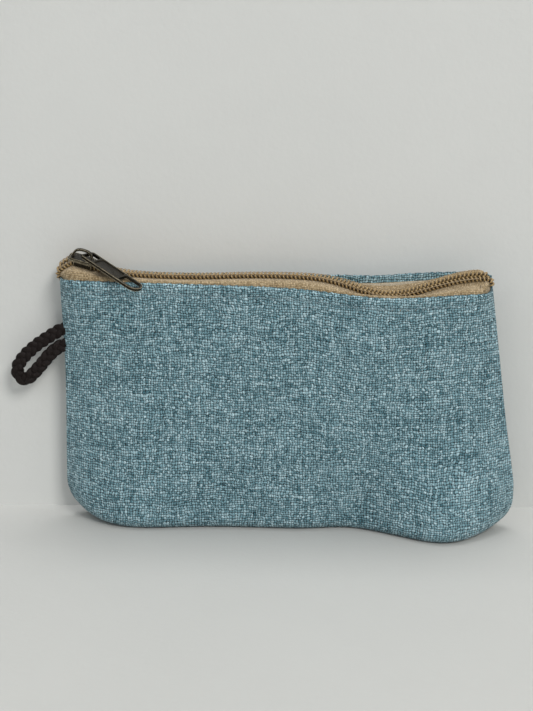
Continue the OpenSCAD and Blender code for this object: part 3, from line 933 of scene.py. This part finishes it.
def surface_line(grid, drop, x):
    """Points on a panel's outer face at a distance below its edge."""
    points = []
    for at in x:
        column = grid[int(np.argmin(np.abs(grid[:, -1, 0] - at)))]
        below = column[-1, 2] - column[:, 2]
        order = np.argsort(below)
        y, z = (np.interp(drop, below[order], column[order, k]) for k in (1, 2))
        points.append([at, y, z])
    return np.array(points)


def topstitch(name, grid, side):
    """A row of separate stitches, none quite like the next."""
    stitches = []
    k = np.linspace(0, 1, 9)
    end = np.abs(2 * k - 1)
    first = float(x_left(FRONT_H)) + STITCH_START
    last = float(x_right(FRONT_H)) - STITCH_START - STITCH
    for x in np.arange(first, last, STITCH + STITCH_GAP):
        p = surface_line(grid, TOP_STITCH + rng.uniform(-0.07, 0.07), x + k * STITCH)
        p[:, 1] -= side * (THREAD_PROUD - THREAD_DIVE * end**4)
        p[:, 2] += rng.uniform(-0.05, 0.05)
        stitches.append(sweep(p, THREAD_R * (1 - 0.35 * end**5)))
    return tubes(name, stitches)


for side, where in SIDES:
    stitching = topstitch(f"{where}_topstitching", outer_face[side], side)
    finish_piece(stitching, BLUE_THREAD, "blue_thread", "pouch", f"topstitch_{where}")


# ---------------------------------------------------------------- CAD nodes that stay
METAL_BEVEL = 0.00016                   # rounding of the metal's edges, in metres
KEPT = {
    "slider_body": BRASS,
    "slider_bridge": BRASS,
    "pull_tab": PULL_BRASS,
    "zip_seam_thread_front": SAND_THREAD,
    "zip_seam_thread_back": SAND_THREAD,
    "lining_seam_thread": SAND_THREAD,
    "side_seam_thread_left": BLUE_THREAD,
    "side_seam_thread_right": BLUE_THREAD,
    "bottom_seam_thread": BLUE_THREAD,
}
for name, mat in KEPT.items():
    nodes[name].data.materials.clear()
    nodes[name].data.materials.append(mat)
for name in ("slider_body", "slider_bridge", "pull_tab"):
    weld = nodes[name].modifiers.new("weld", "WELD")
    weld.merge_threshold = 1e-6
    worn = nodes[name].modifiers.new("worn_edges", "BEVEL")
    worn.width = METAL_BEVEL
    worn.segments = 3
    worn.limit_method = "ANGLE"
    worn.angle_limit = math.radians(25)


# ---------------------------------------------------------------- stage and light
STAGE = 3.0                             # half of the floor's size, in metres
WALL_Y, WALL_TURN = 0.0232, math.radians(4)
LIGHTS_LOOK_AT = Vector((0, 0, 0.05))
DAYLIGHT, DAYLIGHT_STRENGTH = (0.94, 0.97, 1.0, 1), 0.33


def plain(name, colour, rough, one_way=False):
    """Matt paint with a faint unevenness. one_way leaves a surface out from behind and for shadow rays, so
    that the back can be seen and lit."""
    t = Tree(name)
    p = t.place()
    uneven = t.range(t.noise(p, 9.0, 4.0, 0.6), 0.3, 0.7, 0.0, 1.0)
    t.set("Base Color", t.mix(uneven, tuple(c * 0.97 for c in colour), colour))
    t.set("Roughness", rough)
    t.set("Specular IOR Level", 0.2)
    t.set("Normal", t.bump(t.noise(p, 400.0, 3.0), 0.0001))
    if one_way:
        behind = t.node("ShaderNodeNewGeometry").outputs["Backfacing"]
        shadow = t.node("ShaderNodeLightPath").outputs["Is Shadow Ray"]
        pick = t.node("ShaderNodeMixShader")
        t.put(pick.inputs[0], t.math("MAXIMUM", behind, shadow))
        t.put(pick.inputs[1], t.bsdf.outputs[0])
        t.put(pick.inputs[2], t.node("ShaderNodeBsdfTransparent").outputs[0])
        t.put(t.out.inputs["Surface"], pick.outputs[0])
    return t.mat


def stage_quad(name, corners, mat):
    """A flat piece of the stage, from corners in metres."""
    ob = link(name, np.array(corners, float), [[0, 1, 2, 3]], False)
    ob.data.materials.append(mat)


stage_quad("floor", [(-STAGE, -STAGE, 0), (STAGE, -STAGE, 0), (STAGE, STAGE, 0), (-STAGE, STAGE, 0)],
           plain("floor_pale", (0.535, 0.535, 0.515), 0.6))
wall_x, wall_y = math.cos(WALL_TURN) * STAGE, math.sin(WALL_TURN) * STAGE
wall_left = (-wall_x, WALL_Y - wall_y)
wall_right = (wall_x, WALL_Y + wall_y)
stage_quad("backdrop", [(*wall_left, 0), (*wall_right, 0), (*wall_right, STAGE), (*wall_left, STAGE)],
           plain("backdrop_pale", (0.70, 0.705, 0.685), 0.7, one_way=True))

world = bpy.data.worlds.new("studio")
world.use_nodes = True
world.node_tree.nodes["Background"].inputs[0].default_value = DAYLIGHT
world.node_tree.nodes["Background"].inputs[1].default_value = DAYLIGHT_STRENGTH
scene.world = world


def area_light(name, azimuth, elevation, distance, size, power, colour):
    data = bpy.data.lights.new(name, "AREA")
    data.size = size
    data.energy = power
    data.color = colour
    ob = bpy.data.objects.new(name, data)
    scene.collection.objects.link(ob)
    ob.location = LIGHTS_LOOK_AT + aim(ob, azimuth, elevation) * distance


area_light("key", 34, 38, distance=3.0, size=1.0, power=43, colour=(1.0, 0.99, 0.97))
area_light("fill", -30, 35, distance=3.0, size=2.2, power=13, colour=(0.97, 0.99, 1.0))
area_light("above", 180, 79, distance=2.2, size=1.2, power=21, colour=(0.98, 0.99, 1.0))

scene.view_settings.view_transform = "Standard"
